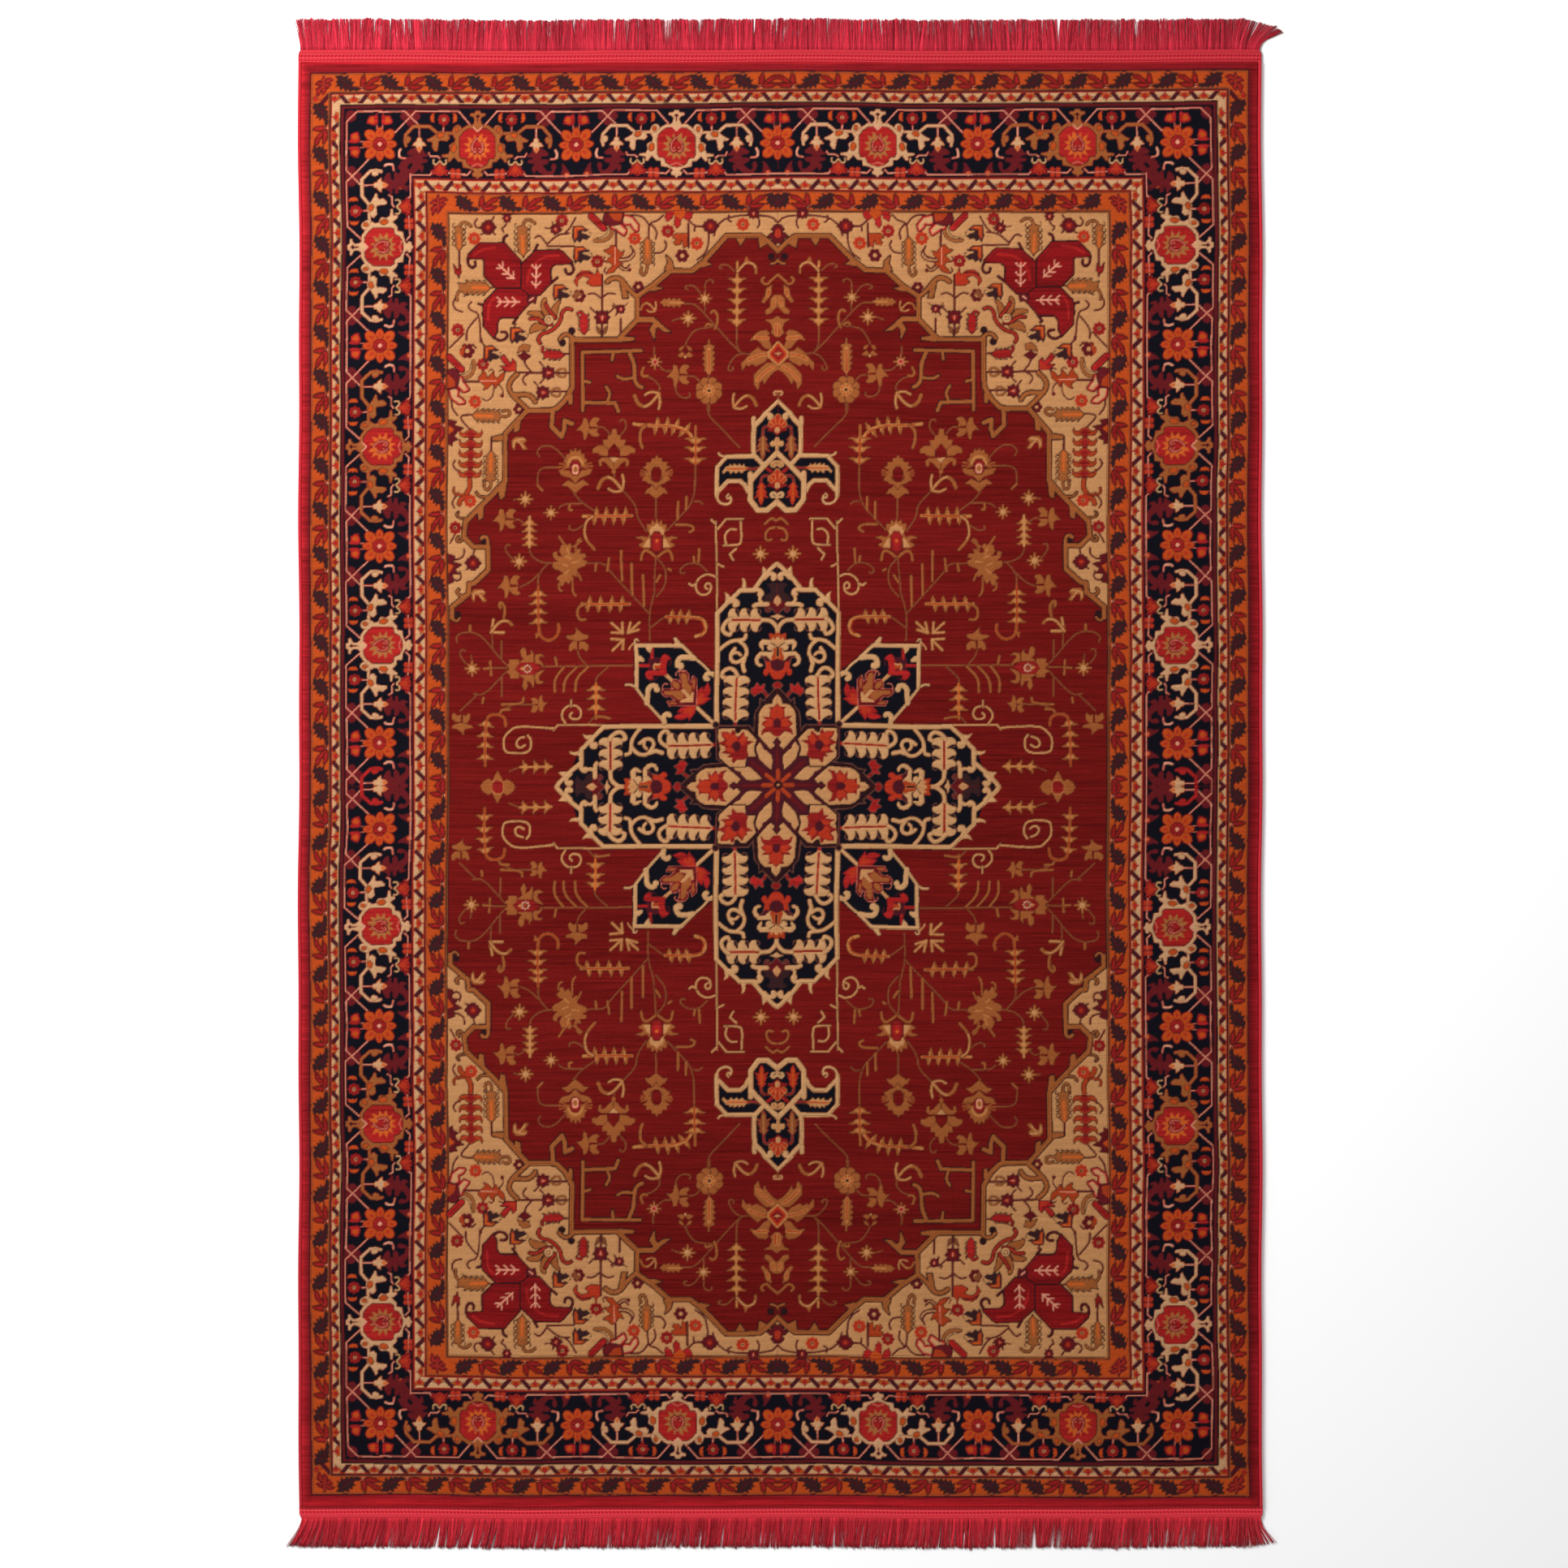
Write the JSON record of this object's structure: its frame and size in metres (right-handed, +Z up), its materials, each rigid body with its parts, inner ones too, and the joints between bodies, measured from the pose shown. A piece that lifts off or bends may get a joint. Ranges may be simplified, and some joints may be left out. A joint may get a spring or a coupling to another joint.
{
  "type": "area rug",
  "caption": "Rectangular cut-pile area rug with nested borders, corner pieces, a central medallion and a fringed tape on each short end.",
  "frame": {"origin": "middle of the underside, on the floor", "axes": "+Y along the rug's length towards the far fringe, +X across its width, +Z up out of the pile"},
  "size_m": [2.028, 3.14, 0.011],
  "materials": {
    "coating_jute": "matte latex-coated jute-coloured back",
    "weave_ground": "tight plain-weave ground, matte",
    "pile_red": "cut pile, dark madder red with streaks, soft sheen",
    "pile_orange": "cut pile, burnt orange ground with maroon and brown drawing",
    "pile_cream": "cut pile, warm cream ground with maroon and red drawing",
    "pile_maroon": "cut pile, maroon",
    "pile_navy": "cut pile, navy ground with orange, red and cream drawing",
    "edge_crimson": "overcast crimson yarn, slight sheen",
    "tape_crimson": "braided crimson tape, slight sheen",
    "stitch_crimson": "crimson sewing thread, slight sheen",
    "fringe_crimson": "loose crimson viscose yarn, silky"
  },
  "bodies": {
    "rug": {"back_coating": "coating_jute", "ground_weave": "weave_ground", "pile_margin": "pile_red", "pile_guard_outer_orange": "pile_orange", "pile_guard_outer_cream": "pile_cream", "pile_stripe_maroon": "pile_maroon", "pile_border_navy": "pile_navy", "pile_guard_inner_cream": "pile_cream", "pile_guard_inner_orange": "pile_orange", "pile_corner_far_left": "pile_cream", "pile_corner_far_right": "pile_cream", "pile_corner_near_left": "pile_cream", "pile_corner_near_right": "pile_cream", "pile_field_red": "pile_red", "pile_medallion": "pile_navy", "pile_star": "pile_cream", "pile_pendant_far": "pile_navy", "pile_pendant_near": "pile_navy", "binding_left": "edge_crimson", "binding_right": "edge_crimson", "fringe_tape_far": "tape_crimson", "fringe_tape_near": "tape_crimson", "tape_stitching_far": "stitch_crimson", "tape_stitching_near": "stitch_crimson"},
    "fringe_far": {"fringe_far": "fringe_crimson"},
    "fringe_near": {"fringe_near": "fringe_crimson"}
  },
  "joints": [
    {"name": "fringe_far_flip", "type": "hinge", "parent": "rug", "child": "fringe_far", "pos_m": [0, 1.51, 0.0072], "axis": [1, 0, 0], "range_deg": [0, 175]},
    {"name": "fringe_near_flip", "type": "hinge", "parent": "rug", "child": "fringe_near", "pos_m": [0, -1.51, 0.0072], "axis": [-1, 0, 0], "range_deg": [0, 175]}
  ]
}
